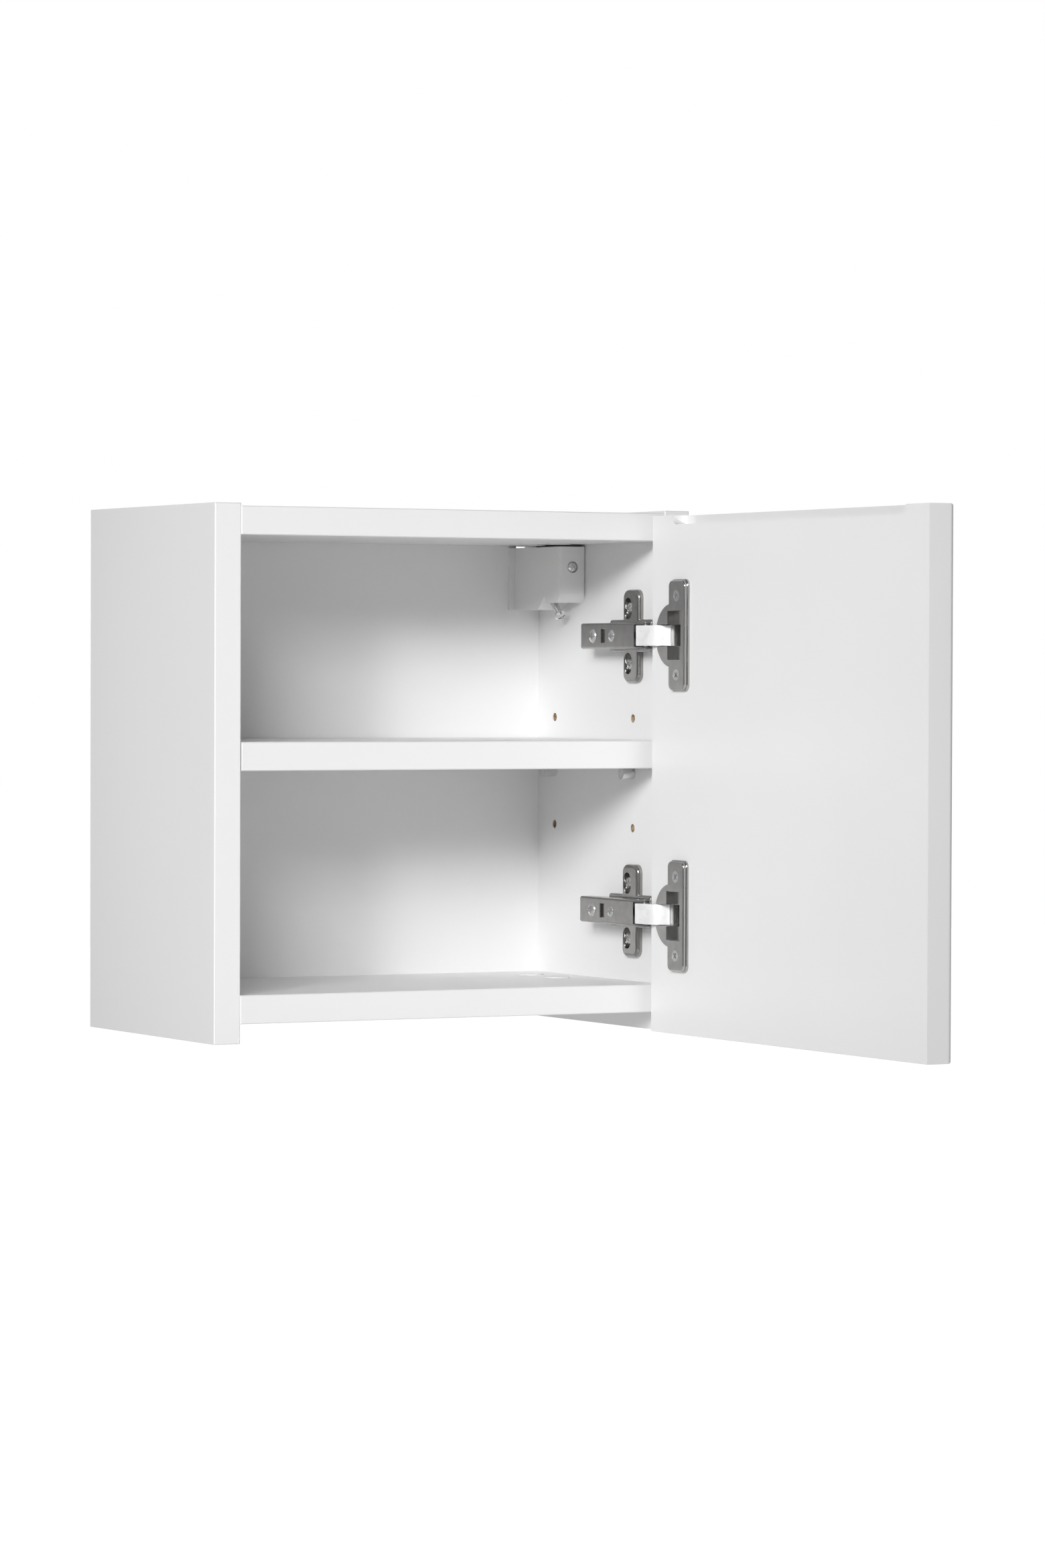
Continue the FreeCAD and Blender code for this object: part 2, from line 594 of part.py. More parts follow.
def outer_link(level, z):
    """Bent channel from the arm's front pin, round the door's edge and into the cup."""
    outer_pin, _, cup_pin = pivots(z)
    path = around(outer_pin, [(-5.4, 2), (-4.9, -4), (-4.2, -12.2), (-2.6, -15.6)])
    path += around(cup_pin, [(-5.6, -0.6), (-2, -2.6)])
    half, sheet_t = v.link_half, v.link_sheet
    shoulder = around(outer_pin, [(-5.2, 2), (1.6, 2), (2.1, -1), (-1.2, -6.5), (-4.4, -8)])
    toe = around(cup_pin, [(-4.2, -1.2), (-1.6, -2.4), (1.2, -1.3), (0.4, 1.7), (-1.6, 1.4)])
    parts = [smooth_strip(path, sheet_t, z - half, z + half)]
    for low in (z - half, z + half - sheet_t):
        high = low + sheet_t
        parts += [smooth_strip(path[:3], 2.1, low, high), smooth_strip(path, 1.3, low, high),
                  slab(shoulder, low, high), slab(toe, low, high)]
        for at, radius in ((outer_pin, 2.2), (cup_pin, 1.8)):
            parts.append(Part.makeCylinder(radius, sheet_t, Vector(at.x, at.y, low)))
    parts.append(spindle(cup_pin, 1.8, half))
    shape = parts[0].fuse(parts[1:]).removeSplitter()
    for at in (outer_pin, cup_pin):
        shape = shape.cut(spindle(at, v.hinge_pin_r + v.pin_play, half + 1))
    solid_node(f"{level}_outer_link", shape)


def inner_link(level, z):
    """Slim bent strip on the arm's second pin; its far end stops short of the cup, free."""
    _, inner_pin, _ = pivots(z)
    path = around(inner_pin, [(-1.5, -1.2), (-4, -6), (-6.3, -9.6), (-6.8, -12)])
    strip = smooth_strip(path, v.inner_sheet, z - v.inner_half, z + v.inner_half)
    shape = strip.fuse(spindle(inner_pin, 2, v.inner_half)).removeSplitter()
    shape = shape.cut(spindle(inner_pin, v.hinge_pin_r + v.pin_play, v.inner_half + 1))
    solid_node(f"{level}_inner_link", shape)


def hinge_cup(level, z):
    """Cup let into the door, its rim and two-layer screw bar, and the well for the links."""
    face = inner_face - v.door_side_gap
    edge = -v.depth - v.door_front_gap
    y = edge - v.cup_edge
    into = Vector(1, 0, 0)
    body = Part.makeCylinder(v.cup_r - v.pin_play, v.cup_depth, Vector(face, y, z), into)
    rim = Part.makeCylinder(v.cup_r + v.rim_over, v.rim_t, Vector(face - v.rim_t, y, z), into)
    bar_y = y - v.cup_screw_offset
    bar_top = face - 2 * v.bar_t
    low_bar = rounded_plate(v.bar_w, v.bar_h, v.bar_t, 4, face - v.bar_t, bar_y, z, v.bar_rim)
    step = 2 * v.bar_rim
    top_bar = rounded_plate(v.bar_w - step, v.bar_h - step, v.bar_t, 3.4, bar_top, bar_y, z, v.bar_rim)
    shape = body.fuse([rim, low_bar, top_bar]).removeSplitter()
    out_of = bar_top - 1
    floor = face + v.cup_depth - v.cup_wall

    def hollow(near, far, half, deep):
        return Part.makeBox(deep - out_of, far - near, 2 * half, Vector(out_of, edge - far, z - half))

    _, _, cup_pin = pivots(z)
    pin_half = v.well_half + 1
    tools = [hollow(v.well_near, v.well_far, v.well_half, floor),
             hollow(-1, v.well_near, v.well_half, face + v.mouth_deep),
             hollow(v.pocket_near, v.well_far, v.pocket_half, face + v.pocket_deep),
             spindle(cup_pin, v.hinge_pin_r + v.pin_play, pin_half + 0.1)]
    screws = []
    for way in (-1, 1):
        at = Vector(bar_top, bar_y, z + way * v.cup_screw_pitch / 2)
        tools += [Part.makeCone(3.5, v.cup_screw_r, 2.2, at, into),
                  Part.makeCylinder(v.cup_screw_r, 2 * v.bar_t, at, into)]
        screws.append(screw(at, -into, "cup", v.cup_screw_r - v.pin_play, v.cup_depth, "flat"))
    solid_node(f"{level}_hinge_cup", shape.cut(tools))
    solid_node(f"{level}_cup_pin", spindle(cup_pin, v.hinge_pin_r, pin_half))
    solid_node(f"{level}_cup_screws", Part.makeCompound(screws))

    wall_y = edge - v.well_far
    bend = [(face + 2.5, wall_y + v.spring_t), (face + 7, wall_y + v.spring_t), (face + 9, wall_y + 2.2),
            (face + 9.5, wall_y + 4.5), (face + 7.5, wall_y + 6.5)]
    foot = slab([(face + 2, wall_y), (face + 7.4, wall_y), (face + 7.4, wall_y + v.spring_t),
                 (face + 2, wall_y + v.spring_t)], z - v.spring_half, z + v.spring_half)
    curl = smooth_strip(bend, v.spring_t / 2, z - v.spring_half, z + v.spring_half)
    solid_node(f"{level}_closing_spring", foot.fuse(curl).removeSplitter())


for level, z in (("lower", v.hinge_low), ("upper", v.height - v.hinge_top)):
    mounting_plate(level, z)
    hinge_arm(level, z)
    outer_link(level, z)
    inner_link(level, z)
    hinge_cup(level, z)


# ---------------------------------------------------------------- cabinet hangers
def profile_x(points, x, width):
    """A closed outline in side view, given as (y, z), carried along X."""
    wire = Part.makePolygon([Vector(x, b, c) for b, c in points + points[:1]])
    return Part.Face(wire).extrude(Vector(width, 0, 0))


def hanger(side, sign):
    """Plastic case pegged to the side, with a hook, its carrier and two adjusting screws."""
    left = inner_face - v.hanger_w
    middle = left + v.hanger_w / 2
    front = back_face - v.hanger_length
    top = v.height - v.top_drop - v.board
    low, high = top - v.hanger_drop, top - v.hanger_top_gap
    foot = low - v.hanger_foot
    wall = v.hanger_wall
    level = top - v.hook_drop

    def put(label, shape):
        solid_node(f"{side}_{label}", shape if sign > 0 else shape.mirror(Vector(), Vector(1, 0, 0)))

    nose = v.hanger_nose
    view = [(back_face, high), (front, high), (front, low + nose), (front + nose / 3, low + nose / 3),
            (front + nose, low), (front + 17, low), (front + 19.5, low + 3.5), (front + 27, foot),
            (back_face, foot)]
    flange = Part.makeBox(v.hanger_w + v.hanger_lip, wall, high - foot,
                          Vector(left - v.hanger_lip, back_face - wall, foot))
    pegs = [Part.makeCylinder(v.pin_r - v.pin_play, v.peg_length,
                              Vector(inner_face, front + along, low + v.peg_up), Vector(1, 0, 0))
            for along in (v.peg_front, v.peg_rear)]
    case = profile_x(view, left, v.hanger_w)
    corners = [e for e in case.Edges if e.BoundBox.ZLength > 20 and e.BoundBox.YMax < front + 0.01]
    case = case.makeFillet(v.hanger_round, corners)
    case = case.fuse([flange] + pegs).removeSplitter()
    hollow = Part.makeBox(v.hanger_w - 2 * wall, back_face - front - nose + 1,
                          high - low - 3 * wall, Vector(left + wall, front + nose, low + 2 * wall))
    screw_z = level - v.hanger_screw_drop
    along_y = Vector(0, 1, 0)
    shank_r, slant_r = v.depth_screw_r, v.height_screw_r
    head_r, head_h = HEADS["depth"]
    head_pocket = Part.makeCylinder(head_r + 0.2, head_h + 0.4,
                                    Vector(middle, front - 0.01, screw_z), along_y)
    shank_bore = Part.makeCylinder(shank_r + 0.2, 8, Vector(middle, front - 1, screw_z), along_y)
    slope = Vector(0, -0.75, -0.66).normalize()
    seat = Vector(middle, front + 23.5, low + 0.2)
    slant_bore = Part.makeCylinder(slant_r + 0.3, 30, seat - slope * 20, slope)
    put("hanger_case", case.cut([hollow, shank_bore, head_pocket, slant_bore]))
    put("depth_screw", screw(Vector(middle, front + 0.4, screw_z), -along_y, "depth", shank_r, 13.6))
    put("height_screw", screw(seat + slope * 10.5, slope, "height", slant_r, 19.5))

    span, cheek = v.hanger_w - 2 * wall - 1, v.hook_t
    start = Vector(middle - span / 2, front + 10, screw_z - v.carrier_h / 2)
    carrier = Part.makeBox(span, v.carrier_t, v.carrier_h, start)
    for x in (0, span - cheek):
        carrier = carrier.fuse(Part.makeBox(cheek, v.carrier_l, v.carrier_h, start + Vector(x, 0, 0)))
    hole = Part.makeCylinder(shank_r + v.pin_play, 8, Vector(middle, front + 8, screw_z), along_y)
    put("hook_carrier", carrier.removeSplitter().cut(hole))

    end, nib = -v.hook_end, 3
    hook_view = [(front + 18, level - v.hook_half), (front + 18, level + v.hook_half),
                 (end, level + v.hook_half), (end, level - v.hook_half - v.hook_lip),
                 (end - nib, level - v.hook_half - v.hook_lip), (end - nib - 0.6, level - v.hook_half)]
    put("hook", profile_x(hook_view, middle - v.hook_t / 2, v.hook_t))


for side, sign in (("left", -1), ("right", 1)):
    hanger(side, sign)


# ---------------------------------------------------------------- check and write
doc.recompute()
for obj in doc.Objects:
    if "Invalid" in obj.State or "Error" in obj.State:
        raise RuntimeError(f"{obj.Name} did not build: {obj.State}")
for obj in nodes:
    if obj.Shape.isNull() or not obj.Shape.isValid():
        raise RuntimeError(f"{obj.Label} has no sound shape")

os.makedirs("parts", exist_ok=True)
for obj in nodes:
    obj.Shape.exportStep(f"parts/{obj.Label}.step")
    print(obj.Label, len(obj.Shape.Solids), round(obj.Shape.Volume, 1))
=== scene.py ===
# %% [markdown]
# # A small hanging wall cabinet
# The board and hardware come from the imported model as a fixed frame. This script gives each
# of them its finish, adds the fine detail that pressed steel and screws have, and sets up a
# plain studio. Every length is in metres, in the cabinet's own frame: +X right, +Y towards
# the wall, +Z up.

# %% load the frame
import math

import bpy
import numpy as np
from mathutils import Matrix, Vector


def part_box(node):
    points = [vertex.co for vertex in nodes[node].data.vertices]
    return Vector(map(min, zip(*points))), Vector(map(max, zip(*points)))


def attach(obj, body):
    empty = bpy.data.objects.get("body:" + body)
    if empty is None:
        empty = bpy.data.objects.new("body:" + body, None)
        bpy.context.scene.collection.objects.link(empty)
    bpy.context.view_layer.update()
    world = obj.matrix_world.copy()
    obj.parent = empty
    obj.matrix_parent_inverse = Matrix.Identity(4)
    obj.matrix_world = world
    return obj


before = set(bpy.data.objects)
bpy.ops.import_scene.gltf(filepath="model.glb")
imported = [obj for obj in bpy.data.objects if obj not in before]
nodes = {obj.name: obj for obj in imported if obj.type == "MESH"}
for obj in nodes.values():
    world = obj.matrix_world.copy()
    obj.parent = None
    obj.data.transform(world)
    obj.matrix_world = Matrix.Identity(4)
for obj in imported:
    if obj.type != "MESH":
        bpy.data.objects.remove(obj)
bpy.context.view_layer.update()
levels = ("lower", "upper")
sides = ("left", "right")

# %% [markdown]
# ## The camera
# A long lens a few metres away keeps the boards' edges nearly parallel. The camera stands
# to the left and looks slightly down, so that the open door shows its inner face. Its place
# and turn are given as a point and three angles.

# %% camera
MM = 0.001
CAMERA_AT = Vector((-1409.91, -2906.71, 206.52)) * MM
YAW, PITCH, ROLL = math.radians(27.967), math.radians(-1.173), math.radians(-0.186)
FOCAL_SHARE = 3.470854700854701      # focal length over the frame's long side
SENSOR = 36.0                        # the sensor's long side, in millimetres

forward = Vector((math.sin(YAW) * math.cos(PITCH), math.cos(YAW) * math.cos(PITCH),
                  math.sin(PITCH)))
right = Vector((math.cos(YAW), -math.sin(YAW), 0))
down = forward.cross(right)
rolled_right = right * math.cos(ROLL) + down * math.sin(ROLL)
rolled_down = down * math.cos(ROLL) - right * math.sin(ROLL)
axes = Matrix((rolled_right, -rolled_down, -forward)).transposed().to_4x4()

lens = bpy.data.cameras.new("camera")
lens.sensor_fit = "VERTICAL"
lens.sensor_height = SENSOR
lens.lens = SENSOR * FOCAL_SHARE
camera = bpy.data.objects.new("camera", lens)
bpy.context.scene.collection.objects.link(camera)
camera.matrix_world = Matrix.Translation(CAMERA_AT) @ axes
bpy.context.scene.camera = camera
print("lens", round(lens.lens, 1), "mm")

# %% [markdown]
# ## Shader sums as plain Python
# A material is a small graph of nodes. Writing that graph call by call hides the idea, so
# one class stands for a value in the graph and answers to + - and *, and another holds the
# material and adds any other node by its type, settings and inputs.

# %% a value in a material
class Term:
    """One socket of a node graph, usable in sums."""

    def __init__(self, finish, socket):
        self.finish, self.socket = finish, socket

    def _sum(self, operation, a, b):
        return self.finish.node("ShaderNodeMath", {"operation": operation}, {0: a, 1: b})

    def __add__(self, other):
        return self._sum("ADD", self, other)

    def __rsub__(self, other):
        return self._sum("SUBTRACT", other, self)

    def __mul__(self, other):
        return self._sum("MULTIPLY", self, other)

    __radd__, __rmul__ = __add__, __mul__


# %% a material
class Finish:
    """A material with one Principled surface. Fixed numbers go on the surface's own sockets."""

    def __init__(self, name, **fixed):
        self.material = bpy.data.materials.new(name)
        self.material.use_nodes = True
        self.tree = self.material.node_tree
        self.surface = self.tree.nodes["Principled BSDF"]
        for socket, value in fixed.items():
            self.surface.inputs[socket.replace("_", " ")].default_value = value
        self.place = self.node("ShaderNodeTexCoord", out="Object")

    def node(self, kind, settings=None, inputs=None, out=0):
        """Adds a node: its settings first, then values or links for its sockets."""
        made = self.tree.nodes.new(kind)
        for key, value in (settings or {}).items():
            setattr(made, key, value)
        for key, value in (inputs or {}).items():
            self.feed(made.inputs[key], value)
        return Term(self, made.outputs[out])

    def feed(self, socket, value):
        if isinstance(value, Term):
            self.tree.links.new(value.socket, socket)
        else:
            socket.default_value = value

    def set(self, socket, value):
        self.feed(self.surface.inputs[socket], value)

    # the patterns that several finishes share
    def noise(self, scale, detail=2.0, place=None):
        return self.node("ShaderNodeTexNoise", None,
                         {"Vector": place or self.place, "Scale": scale, "Detail": detail})

    def stretched(self, factors):
        return self.node("ShaderNodeMapping", None, {"Vector": self.place, "Scale": factors})

    def along(self, axis):
        return self.node("ShaderNodeSeparateXYZ", None, {0: self.place}, out=axis)

    def ramp(self, value, low, high, to_low=0.0, to_high=1.0):
        """A value carried from one range to another, held at the ends."""
        return self.node("ShaderNodeMapRange", {"interpolation_type": "SMOOTHSTEP"},
                         {"Value": value, "From Min": low, "From Max": high,
                          "To Min": to_low, "To Max": to_high})

    def blend(self, mask, a, b):
        """Colour a where the mask is 0 and colour b where it is 1."""
        return self.node("ShaderNodeMix", {"data_type": "RGBA"}, {0: mask, 6: a, 7: b}, out=2)

    def relief(self, height, depth):
        """Bumps of that depth in metres."""
        self.set("Normal", self.node("ShaderNodeBump", None,
                                     {"Height": height, "Distance": depth, "Strength": 1.0}))

    def mottled(self, pattern, tone, fall, warm=0.0):
        """A grey base colour that falls to a share of itself as the pattern rises."""
        return self.blend(self.ramp(pattern, *MIDDLE), grey(tone, warm), grey(tone * fall, warm))


MIDDLE = (0.3, 0.7)      # the part of a noise's range that most of its values lie in


def grey(level, warm=0.0):
    return (level + warm, level, level - warm, 1.0)


# %% [markdown]
# ## White foil on chipboard
# The boards are chipboard wrapped in a white melamine foil. The foil isn't perfectly flat:
# pressed paper over wood chips leaves a very fine orange peel and a slow waviness, and it
# shines a little more in some places than in others. Inside a bore or a groove the foil is
# cut through and the raw chipboard shows, so the material needs to know how deep a point
# lies in the board. That is worked out from the object coordinates and the node's own box.

# %% chipboard
CHIP_LIGHT, CHIP_DARK = (0.56, 0.42, 0.27, 1.0), (0.30, 0.20, 0.11, 1.0)
FLAKES, DUST = 900.0, 2600.0         # cells a metre
FLAKE_SHARE = 0.7


def chipboard(finish):
    """Flakes of wood with finer dust between them, pale and dark."""
    flakes = finish.node("ShaderNodeTexVoronoi", None, {"Vector": finish.place, "Scale": FLAKES},
                         out="Color")
    tone = finish.node("ShaderNodeSeparateColor", None, {0: flakes})
    mixed = tone * FLAKE_SHARE + finish.noise(DUST) * (1 - FLAKE_SHARE)
    return finish.blend(finish.ramp(mixed, 0.25, 0.75), CHIP_DARK, CHIP_LIGHT)


# %% foil
SKIN = 0.0003                        # how far under a board's face the raw wood starts
WAVES, DIMPLES, PEEL = 9.0, 140.0, 1500.0       # cells a metre
WOOD_ROUGH = 0.9


def inside(finish, low, high):
    """1 where a point is under the skin of the box on all three axes, else 0."""
    mask = None
    for axis, (a, b) in zip("XYZ", zip(low, high)):
        at = finish.along(axis)
        past_low = finish.ramp(at, a + SKIN, a + 2 * SKIN)
        past_high = finish.ramp(at, b - 2 * SKIN, b - SKIN, 1.0, 0.0)
        deep = past_low * past_high
        mask = deep if mask is None else mask * deep
    return mask


def foil(name, tone, rough=0.36, peel=0.000012, box=None):
    """White foil with its waviness; raw chipboard inside the box's skin if a box is given."""
    finish = Finish(name, IOR=1.48, Specular_IOR_Level=0.5)
    slow = finish.noise(WAVES)
    fine = finish.noise(PEEL)
    colour = finish.mottled(slow, tone, fall=0.985)
    shine = finish.ramp(slow + fine * 0.25, 0.35, 0.95, rough - 0.04, rough + 0.05)
    if box is not None:
        mask = inside(finish, *box)
        colour = finish.blend(mask, colour, chipboard(finish))
        shine = shine * (1 - mask) + mask * WOOD_ROUGH
    finish.set("Base Color", colour)
    finish.set("Roughness", shine)
    finish.relief(fine * 0.6 + finish.noise(DIMPLES) * 2.0, peel)
    return finish.material


def dress(name, material):
    """Gives a node's object that one material."""
    slots = nodes[name].data.materials
    slots.clear()
    slots.append(material)


WHITE = 0.84
for name in ("side_panel_left", "side_panel_right", "top_panel", "bottom_panel", "shelf"):
    dress(name, foil(f"foil_{name}", WHITE, box=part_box(name)))
dress("door", foil("foil_door", WHITE, rough=0.33, peel=0.000008))
# partly painted light: the back board's white stands above the foil's, partly for its own paint
# and partly to lift the shade inside the cabinet
dress("back_panel", foil("hardboard_paint_and_painted_light", WHITE * 1.06, rough=0.5, peel=0.00003))
print("boards dressed in foil")

# %% [markdown]
# ## Steel
# The hinges are nickel plated, the screws and pins zinc plated, and the hooks galvanised. A
# plated sheet mirrors its surroundings, so its own colour is a grey and most of its look is
# in the roughness: a faint grain along the strip, and a cloudy film that dulls it in
# patches. The grain is a noise stretched some fortyfold along the rolling direction. The
# arm, plate and inner link get a darker grey than the cup, as painted shade. The outer links
# are the brightest pieces: they are painted nearly white with little metal, as a painted
# reflection of the bright light they mirror.

# %% plated steel
CLOUDS, SCRATCH = 160.0, 0.000004    # cells a metre, and the grain's depth


def plate(name, tone, warm, rough, grain, film=0.06, metal=1.0):
    """Plated steel sheet; grain holds the stretch of the noise on the three axes."""
    finish = Finish(name, Metallic=metal)
    cloud = finish.noise(CLOUDS, detail=4.0)
    streak = finish.noise(1.0, detail=3.0, place=finish.stretched(grain))
    finish.set("Base Color", finish.mottled(cloud, tone, fall=0.88, warm=warm))
    worn = cloud * 0.7 + streak * 0.5
    finish.set("Roughness", finish.ramp(worn, 0.4, 0.85, rough, rough + film))
    finish.relief(streak, SCRATCH)
    return finish.material


FINE, LONG, CAST = 2500.0, 60.0, 900.0          # cells a metre: across, along, and cast
ALONG_Z, ALONG_Y = (FINE, FINE, LONG), (FINE, LONG, FINE)
nickel = plate("nickel_plate", 0.50, 0.006, 0.16, ALONG_Z)
# painted shade: the arm, plate and inner link carry the cup's nickel plate, in a darker grey
nickel_arm_painted_shade = plate("nickel_plate_arm_painted_shade", 0.37, 0.006, 0.18, ALONG_Y)
# painted reflection: the outer links' nearly white colour, with little metal, stands for the
# bright light they mirror
link_painted_reflection = plate("nickel_link_painted_reflection", 0.97, 0.0, 0.38, ALONG_Y, metal=0.2)
zinc = plate("zinc_plate", 0.78, 0.0, 0.22, ALONG_Y)
galvanised = plate("galvanised_sheet", 0.55, 0.0, 0.32, ALONG_Y, film=0.14)
spring_steel = plate("spring_steel", 0.34, -0.008, 0.25, ALONG_Z)
cast_zinc = plate("cast_zinc", 0.5, 0.0, 0.42, (CAST, CAST, CAST), film=0.1)

HINGE_PARTS = {
    "mounting_plate": nickel_arm_painted_shade, "hinge_arm": nickel_arm_painted_shade, "inner_link": nickel_arm_painted_shade,
    "hinge_cup": nickel, "outer_link": link_painted_reflection, "closing_spring": spring_steel,
    "arm_pins": zinc, "cup_pin": zinc, "plate_screws": zinc, "cup_screws": zinc,
    "fixing_screw": zinc, "adjusting_screw": zinc,
}
HANGER_PARTS = {
    "depth_screw": zinc, "height_screw": zinc, "hook_carrier": galvanised, "hook": galvanised,
}
for places, parts in ((levels, HINGE_PARTS), (sides, HANGER_PARTS)):
    for place in places:
        for part, material in parts.items():
            dress(f"{place}_{part}", material)
dress("connecting_bolts", zinc)
dress("cam_locks", cast_zinc)
dress("shelf_supports", zinc)
print("hardware dressed in steel")

# %% [markdown]
# ## Pressed lines and threads
# Two low ridges run along the outer face of each hinge's outer link. The face is nearly
# flat there, so a parabola through three of its points carries them: the ridge is
#
#     x = face(y) - a r(u) cos v,   z = z0 + b r(u) sin v,   r(u) = (1 - |2u - 1|^6)^(1/2)
#
# A thread is the same kind of surface wound on a helix: a point at angle t round the screw
# stands pitch t / 2 pi along it, and a small ring of half-width w and height c is carried
# with it, shrinking to nothing at both ends.

# %% closed tube round a line
RING = 12                            # points round a tube


def tube(name, centre, across, up):
    """A closed mesh: rings of centre + across cos v + up sin v; all arrays are (n, 3)."""
    if (np.cross(across, up) * np.gradient(centre, axis=0)).sum() < 0:
        up = -up                                # the faces look outwards
    v = np.linspace(0, 2 * np.pi, RING, endpoint=False)
    rings = (centre[:, None] + across[:, None] * np.cos(v)[None, :, None]
             + up[:, None] * np.sin(v)[None, :, None])
    n, m = rings.shape[:2]
    points = np.concatenate([rings.reshape(-1, 3), centre[:1], centre[-1:]])
    faces = [(i * m + j, i * m + (j + 1) % m, (i + 1) * m + (j + 1) % m, (i + 1) * m + j)
             for i in range(n - 1) for j in range(m)]
    faces += [((j + 1) % m, j, n * m) for j in range(m)]
    faces += [((n - 1) * m + j, (n - 1) * m + (j + 1) % m, n * m + 1) for j in range(m)]
    mesh = bpy.data.meshes.new(name)
    mesh.from_pydata(points.tolist(), [], faces)
    mesh.validate()
    mesh.shade_smooth()
    piece = bpy.data.objects.new(name, mesh)
    bpy.context.scene.collection.objects.link(piece)
    return piece


def fade(u, power):
    """1 along the middle, falling to a fiftieth at u = 0 and u = 1."""
    return np.sqrt(np.clip(1 - np.abs(2 * u - 1) ** power, 0.02 ** 2, 1))


# %% pressed lines on the links
FACE = np.array([(116.6, -170.434), (117.1, -176.434), (117.8, -184.634)]) * MM  # its x and y
RIB_FROM, RIB_TO = -0.1735, -0.1855  # where a ridge starts and ends along y
RIB_OUT, RIB_HALF, RIB_STEP = 0.00022, 0.0004, 0.0029    # height, half width, off the middle
face_curve = np.polyfit(FACE[:, 1], FACE[:, 0], 2)


def rib(name, z0):
    """x = face(y) - a r(u) cos v, z = z0 + b r(u) sin v, with y running evenly in u."""
    u = np.linspace(0, 1, 40)
    y = RIB_FROM + (RIB_TO - RIB_FROM) * u
    x = np.polyval(face_curve, y)
    size = fade(u, 6)[:, None]
    return tube(name, np.stack([x, y, np.full_like(y, z0)], axis=-1),
                np.array([[-RIB_OUT, 0, 0]]) * size, np.array([[0, 0, RIB_HALF]]) * size)


for level in levels:
    low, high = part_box(f"{level}_outer_link")
    z_mid = (low.z + high.z) / 2
    for step, place in ((-1, "low"), (1, "high")):
        line = rib(f"{level}_link_line_{place}", z_mid + step * RIB_STEP)
        line.data.materials.append(link_painted_reflection)
        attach(line, "outer_links")

# %% threads of the height screws
SLOPE = np.array([0.0, -0.75, -0.66]) / math.hypot(0.75, 0.66)
SEAT = np.array([0.12575, -0.0535, 0.2482])     # on the right screw's axis; the left has -x
SHANK_R, THREAD_PITCH = 0.0019, 0.001
THREAD_HALF, THREAD_OUT = 0.00034, 0.00022      # half its width, and how far it stands out
THREAD_FROM, THREAD_TO = -0.0085, 0.0103        # along the axis, seen from the seat
TURN_STEPS = 24


def thread(name, sign):
    """A helix: P(t) = seat + s(t) d + R (e cos t + f sin t), with s(t) rising a pitch a turn."""
    turns = (THREAD_TO - THREAD_FROM) / THREAD_PITCH
    u = np.linspace(0, 1, int(turns * TURN_STEPS))
    t = 2 * np.pi * turns * u
    side = np.array([1.0, 0.0, 0.0])
    other = np.cross(SLOPE, side)
    out = np.cos(t)[:, None] * side + np.sin(t)[:, None] * other
    along = (THREAD_FROM + (THREAD_TO - THREAD_FROM) * u)[:, None] * SLOPE
    size = fade(u, 30)[:, None]
    seat = SEAT * (sign, 1, 1)
    return tube(name, seat + along + SHANK_R * out, out * THREAD_OUT * size,
                SLOPE[None] * THREAD_HALF * size)


for side, sign in (("left", -1.0), ("right", 1.0)):
    ridge = thread(f"{side}_height_screw_thread", sign)
    ridge.data.materials.append(zinc)
    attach(ridge, f"{side}_height_screw")
print("pressed lines and threads made")

# %% [markdown]
# ## Moulded plastic and beech
# The hanger cases and the caps over the cams are white mouldings with a fine spark-eroded
# grain. The dowels are beech: long pale grain along X with short darker flecks.

# %% plastic and wood
SPARKS, FLOW = 3200.0, 35.0          # cells a metre
BEECH_DARK, BEECH_LIGHT = (0.50, 0.31, 0.15, 1.0), (0.66, 0.46, 0.27, 1.0)
GRAIN, FLECKS = (40.0, 1200.0, 1200.0), (400.0, 2600.0, 2600.0)


def moulded(name, tone, warm, rough):
    """White plastic from a spark-eroded mould."""
    finish = Finish(name, IOR=1.49)
    grain = finish.noise(SPARKS)
    finish.set("Base Color", finish.mottled(finish.noise(FLOW), tone, fall=0.98, warm=warm))
    finish.set("Roughness", finish.ramp(grain, *MIDDLE, rough - 0.05, rough + 0.06))
    finish.relief(grain, 0.00001)
    return finish.material


def beech(name):
    """Turned beech with its grain along X."""
    finish = Finish(name, IOR=1.5)
    grain = finish.noise(1.0, detail=5.0, place=finish.stretched(GRAIN))
    fleck = finish.noise(1.0, detail=1.0, place=finish.stretched(FLECKS))
    tone = finish.ramp(grain * 0.7 + fleck * 0.3, 0.35, 0.65)
    finish.set("Base Color", finish.blend(tone, BEECH_DARK, BEECH_LIGHT))
    finish.set("Roughness", finish.ramp(grain, *MIDDLE, 0.5, 0.65))
    finish.relief(grain, 0.00005)
    return finish.material


case_plastic = moulded("white_moulding", 0.85, 0.002, 0.42)
for side in sides:
    dress(f"{side}_hanger_case", case_plastic)
dress("cam_caps", moulded("cap_moulding", 0.80, 0.0, 0.38))
dress("dowels", beech("beech"))
print("plastic and wood done")

# %% [markdown]
# ## The studio
# A hung cabinet has nothing under it, so the floor lies well below, plain and pale, and the
# world around is white. One large soft light stands high in front and to the left, and
# throws the soft slanted shadows under the top board and the shelf. A second, from behind
# and to the right, is for views of the back and the far side. A soft spot adds to the first
# on the inside of the cabinet.

# %% floor
FLOOR_DROP, FLOOR_HALF, FLOOR_STEPS = 0.45, 9.0, 24


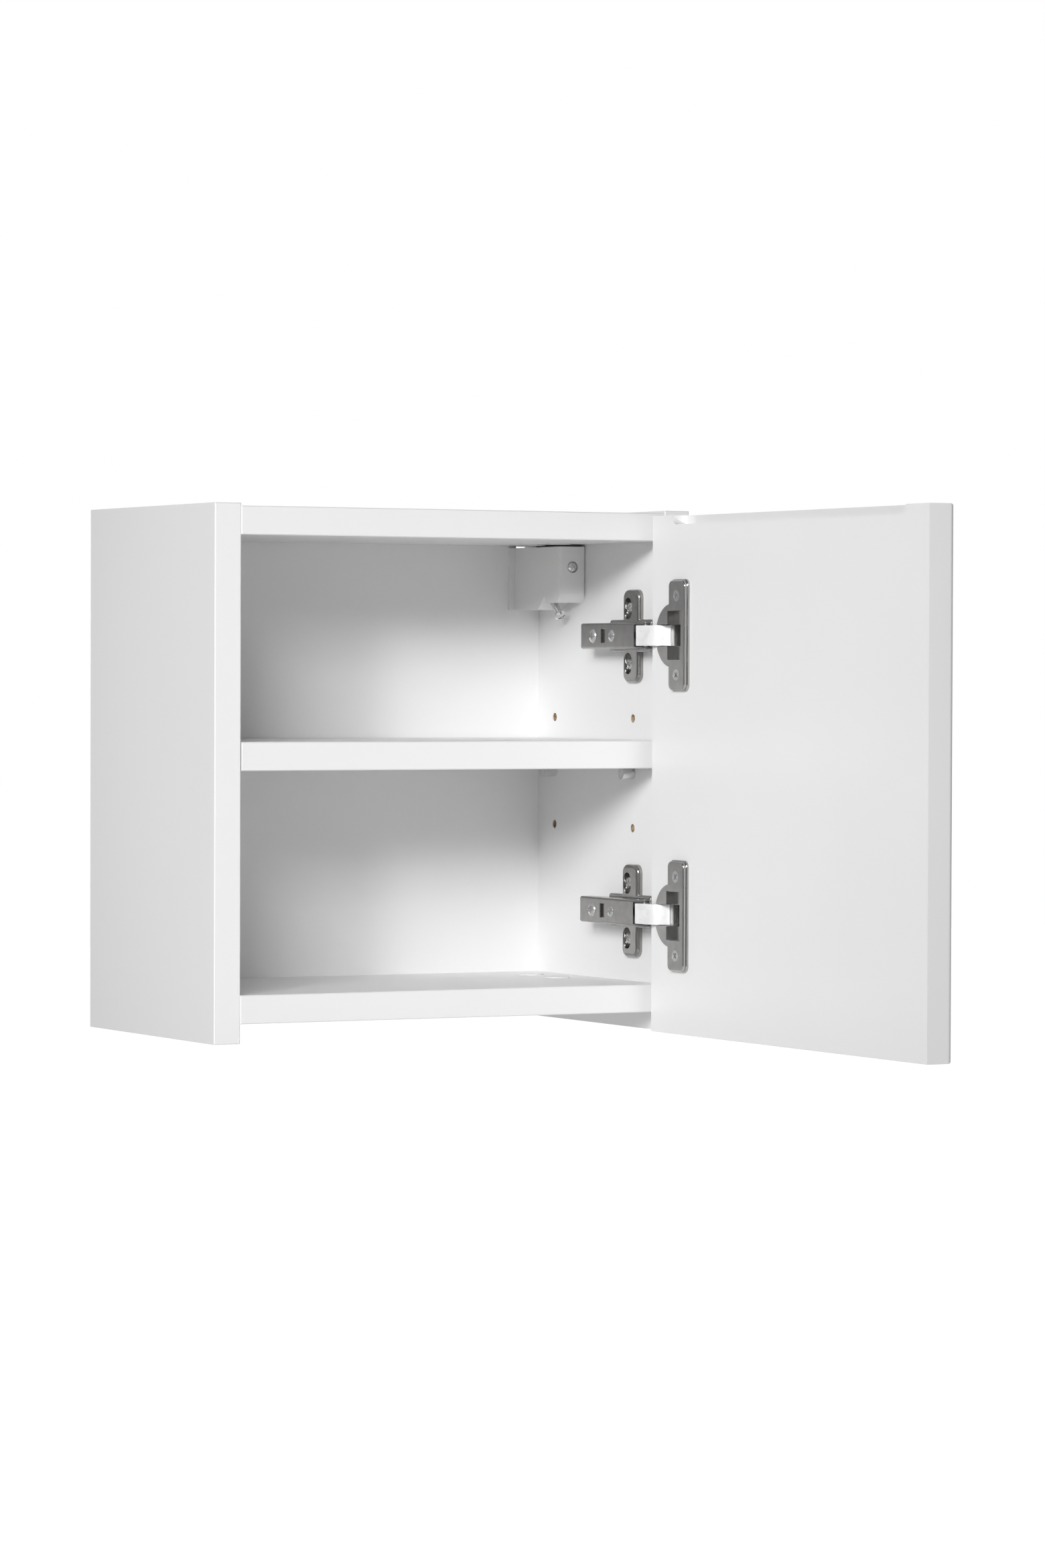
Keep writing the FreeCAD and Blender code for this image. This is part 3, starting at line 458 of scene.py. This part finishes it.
def floor_sheet(half, level, steps):
    """A square grid, x and y each running from -half to half, flat at one level."""
    run = np.linspace(-half, half, steps)
    x, y = np.meshgrid(run, run, indexing="ij")
    points = np.stack([x, y, np.full_like(x, level)], axis=-1).reshape(-1, 3)
    i, j = np.meshgrid(np.arange(steps - 1), np.arange(steps - 1), indexing="ij")
    a = (i * steps + j).ravel()
    faces = np.stack([a, a + steps, a + steps + 1, a + 1], axis=-1)
    mesh = bpy.data.meshes.new("floor")
    mesh.from_pydata(points.tolist(), [], faces.tolist())
    sheet = bpy.data.objects.new("floor", mesh)
    bpy.context.scene.collection.objects.link(sheet)
    return sheet


# The paper's glow as the camera sees it, and as it lights the cabinet.
PAPER_SEEN, PAPER_GIVEN = 0.97, 0.12
paper = Finish("pale_paper", IOR=1.45, Emission_Strength=1.0)
seen = paper.node("ShaderNodeLightPath", out="Is Camera Ray")
paper.set("Emission Color", seen * (PAPER_SEEN - PAPER_GIVEN) + PAPER_GIVEN)
paper_cloud = paper.noise(3.0)
paper.set("Base Color", paper.blend(paper.ramp(paper_cloud, *MIDDLE), grey(0.93), grey(0.92)))
paper.set("Roughness", paper.ramp(paper_cloud, *MIDDLE, 0.75, 0.85))
floor = floor_sheet(FLOOR_HALF, -FLOOR_DROP, FLOOR_STEPS)
floor.data.materials.append(paper.material)

# %% lights and world
def light(name, kind, at, aim, **settings):
    """A lamp at one point that looks at another."""
    lamp = bpy.data.lights.new(name, kind)
    for key, value in settings.items():
        setattr(lamp, key, value)
    holder = bpy.data.objects.new(name, lamp)
    bpy.context.scene.collection.objects.link(holder)
    turn = (Vector(aim) - Vector(at)).to_track_quat("-Z", "Y")
    holder.matrix_world = Matrix.Translation(Vector(at)) @ turn.to_matrix().to_4x4()


middle = (0.0, -0.1, 0.15)
light("key_light", "AREA", (-1.64, -1.92, 1.04), middle,
      shape="RECTANGLE", size=1.2, size_y=0.5, energy=44.5)
light("rear_light", "AREA", (1.5, 1.9, 1.5), middle,
      shape="RECTANGLE", size=1.4, size_y=1.0, energy=34.0)
light("inside_light", "SPOT", (-1.5, -1.55, 0.65), (0.12, -0.06, 0.14),
      spot_size=math.radians(9.0), spot_blend=1.0, shadow_soft_size=0.3, energy=240.0)

world = bpy.data.worlds.new("studio")
bpy.context.scene.world = world
world.use_nodes = True
SEEN, GIVEN = 1.0, 0.135             # how bright the surround looks, and how much it lights
tree = world.node_tree
path = tree.nodes.new("ShaderNodeLightPath")
strength = tree.nodes.new("ShaderNodeMapRange")
strength.inputs["To Min"].default_value, strength.inputs["To Max"].default_value = GIVEN, SEEN
tree.links.new(path.outputs["Is Camera Ray"], strength.inputs["Value"])
tree.links.new(strength.outputs[0], tree.nodes["Background"].inputs["Strength"])
tree.nodes["Background"].inputs["Color"].default_value = grey(1.0)
bpy.context.scene.view_settings.view_transform = "Standard"
print("studio set")
